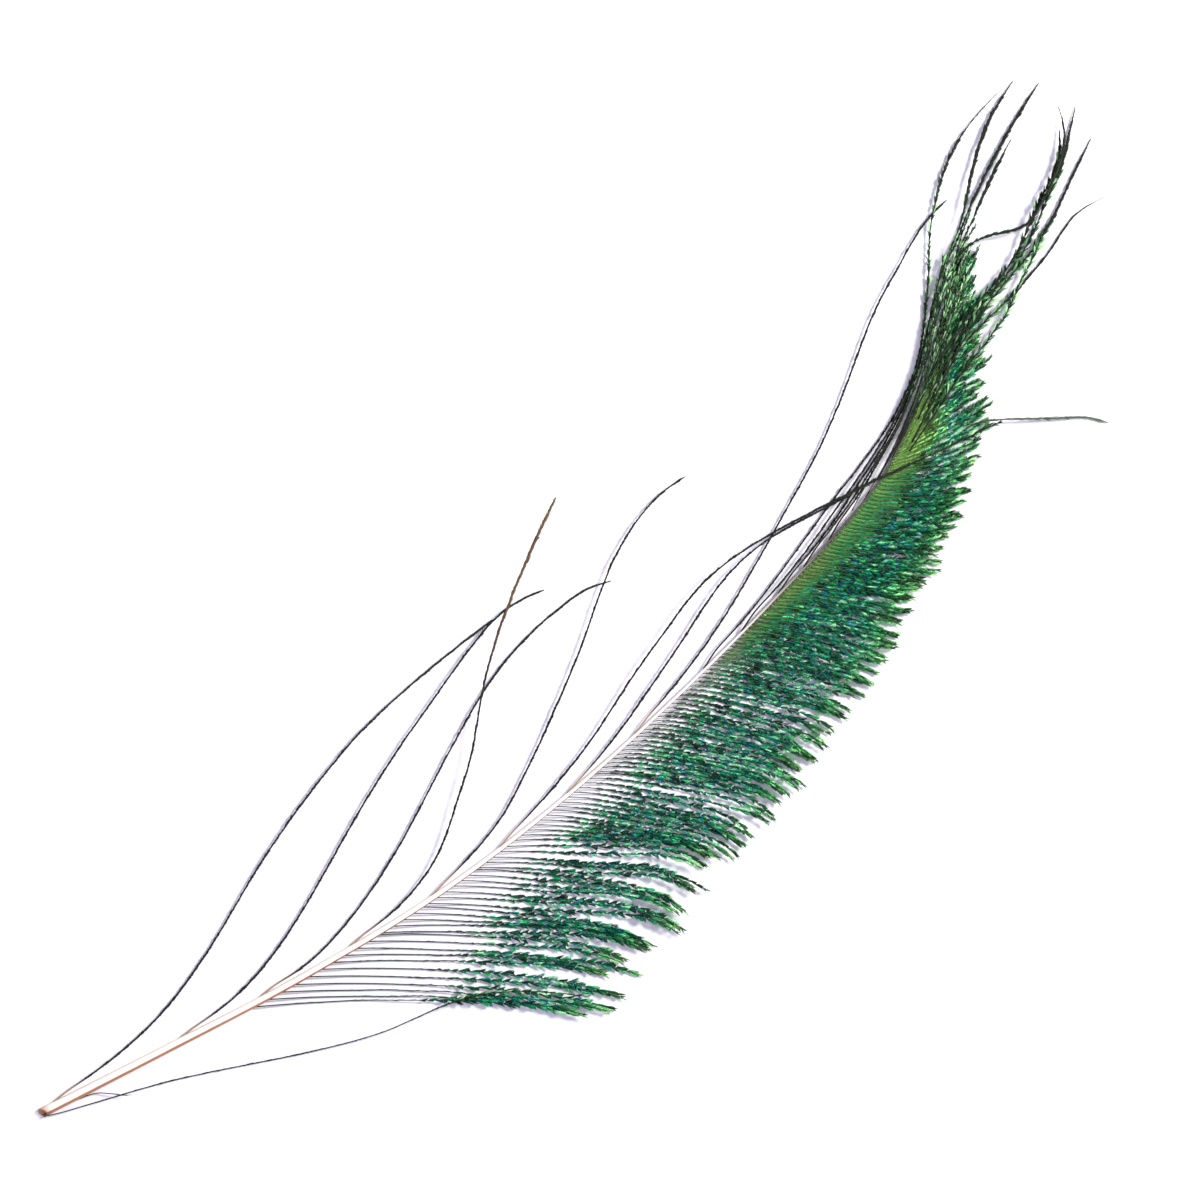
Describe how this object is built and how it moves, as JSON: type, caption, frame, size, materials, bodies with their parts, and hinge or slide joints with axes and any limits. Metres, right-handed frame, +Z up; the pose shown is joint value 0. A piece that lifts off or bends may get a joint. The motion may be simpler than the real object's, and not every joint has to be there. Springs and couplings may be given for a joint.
{
  "type": "peacock sword feather",
  "caption": "Side feather of a peacock's train, lying flat: curved pale shaft, dense green vane in locks along one side, long loose dark barbs along the other and at the tip.",
  "frame": {"origin": "middle of the feather's box, on the surface that it lies on", "axes": "+X from the quill's cut end towards the tip, +Y towards the side with the loose barbs, +Z up"},
  "size_m": [0.353, 0.0986, 0.0085],
  "materials": {
    "shaft": "pale horn-like keratin, ivory on top with a brown edge, half gloss",
    "vane": "downy barbs with a metallic green to blue-green sheen",
    "loose_barbs": "dark grey-green thin barbs, cream at the root",
    "brown_barb": "thin barb, dark at the root and brown at the tip"
  },
  "bodies": {
    "root": {"barb_stub": "loose_barbs", "base_barb": "loose_barbs", "left_barb_01": "loose_barbs", "left_barb_02": "loose_barbs", "left_barb_03": "loose_barbs", "left_barb_04": "brown_barb", "left_barb_05": "loose_barbs", "left_barb_06": "loose_barbs", "left_barb_07": "loose_barbs", "left_barb_08": "loose_barbs", "left_barb_09": "loose_barbs", "left_barb_10": "loose_barbs", "left_barb_11": "loose_barbs", "left_barb_12": "loose_barbs", "left_barb_13": "loose_barbs", "shaft": "shaft", "stray_barb": "loose_barbs", "tip_barb_01": "loose_barbs", "tip_barb_02": "loose_barbs", "tip_barb_03": "loose_barbs", "tip_barb_04": "loose_barbs", "tip_barb_05": "loose_barbs", "vane_lock_01": "vane", "vane_lock_02": "vane", "vane_lock_03": "vane", "vane_lock_04": "vane", "vane_lock_05": "vane", "vane_lock_06": "vane", "vane_lock_07": "vane", "vane_lock_08": "vane", "vane_lock_09": "vane", "vane_lock_10": "vane", "vane_lock_11": "vane", "vane_lock_12": "vane", "vane_lock_13": "vane", "vane_lock_14": "vane", "vane_lock_15": "vane", "vane_lock_16": "vane", "vane_lock_17": "vane", "vane_lock_18": "vane", "vane_lock_19": "vane", "vane_lock_20": "vane"}
  },
  "joints": []
}
